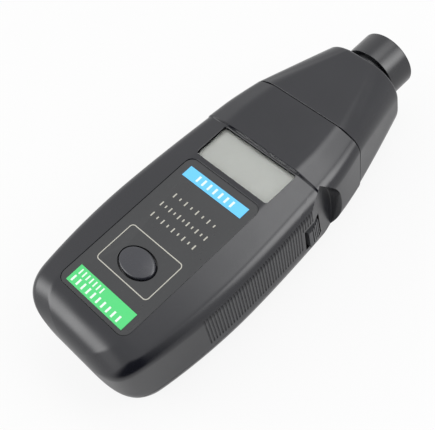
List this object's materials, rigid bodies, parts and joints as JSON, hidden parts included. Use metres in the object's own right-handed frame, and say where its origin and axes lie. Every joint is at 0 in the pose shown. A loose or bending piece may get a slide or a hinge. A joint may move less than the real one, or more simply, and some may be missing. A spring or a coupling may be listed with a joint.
{
  "type": "laser tachometer",
  "caption": "Hand-held laser tachometer: tapered two-shell case with a display, an oval button, a side button, a lens barrel at the nose and a sliding battery door.",
  "frame": {"origin": "middle of the part's length and width, on the plane of its back", "axes": "+Y along the part to the lens barrel, +Z out of the display face, +X to the side button"},
  "size_m": [0.0618, 0.1599, 0.0374],
  "materials": {
    "shell": "satin moulded plastic, fine grain",
    "trim": "satin moulded plastic",
    "panel": "satin film",
    "print": "screen print",
    "blue": "printed film",
    "green": "printed film",
    "clear": "clear moulded plastic",
    "display": "grey reflective display",
    "board": "lacquered circuit board",
    "metal": "plated steel",
    "brass": "turned brass",
    "pale": "moulded plastic",
    "strip": "conductive rubber",
    "lead": "wire insulation",
    "battery": "plain jacket"
  },
  "bodies": {
    "case": {"front_case": "shell", "rear_case": "shell", "nose_cap": "shell", "lens_barrel": "trim", "optics_holder": "trim", "lcd_holder": "trim", "memory_switch": "trim", "test_switch": "trim", "controller_chip": "trim", "battery_snap": "trim", "face_panel": "panel", "face_print": "print", "blue_label": "blue", "green_label": "green", "front_lens": "clear", "receiver_lens": "clear", "display_window": "clear", "lcd_glass": "display", "main_board": "board", "sensor_board": "board", "switch_board": "board", "photo_sensor": "metal", "quartz_crystal": "metal", "board_screws": "metal", "case_screws": "metal", "laser_module": "brass", "sensor_ribbon": "pale", "contact_strips": "strip", "battery_leads": "lead", "battery": "battery"},
    "memory_button": {"memory_button": "trim", "memory_plunger": "pale"},
    "test_button": {"test_button": "trim", "test_plunger": "pale"},
    "battery_door": {"battery_door": "shell"}
  },
  "joints": [
    {"name": "memory_press", "type": "slide", "parent": "case", "child": "memory_button", "axis": [0, 0, -1], "range_m": [0, 0.0009], "stiffness_N_per_m": 800, "springref_m": -0.0005},
    {"name": "test_press", "type": "slide", "parent": "case", "child": "test_button", "axis": [-1, 0, 0], "range_m": [0, 0.001], "stiffness_N_per_m": 800, "springref_m": -0.0005},
    {"name": "door_slide", "type": "slide", "parent": "case", "child": "battery_door", "axis": [0, -1, 0], "range_m": [0, 0.07]}
  ]
}
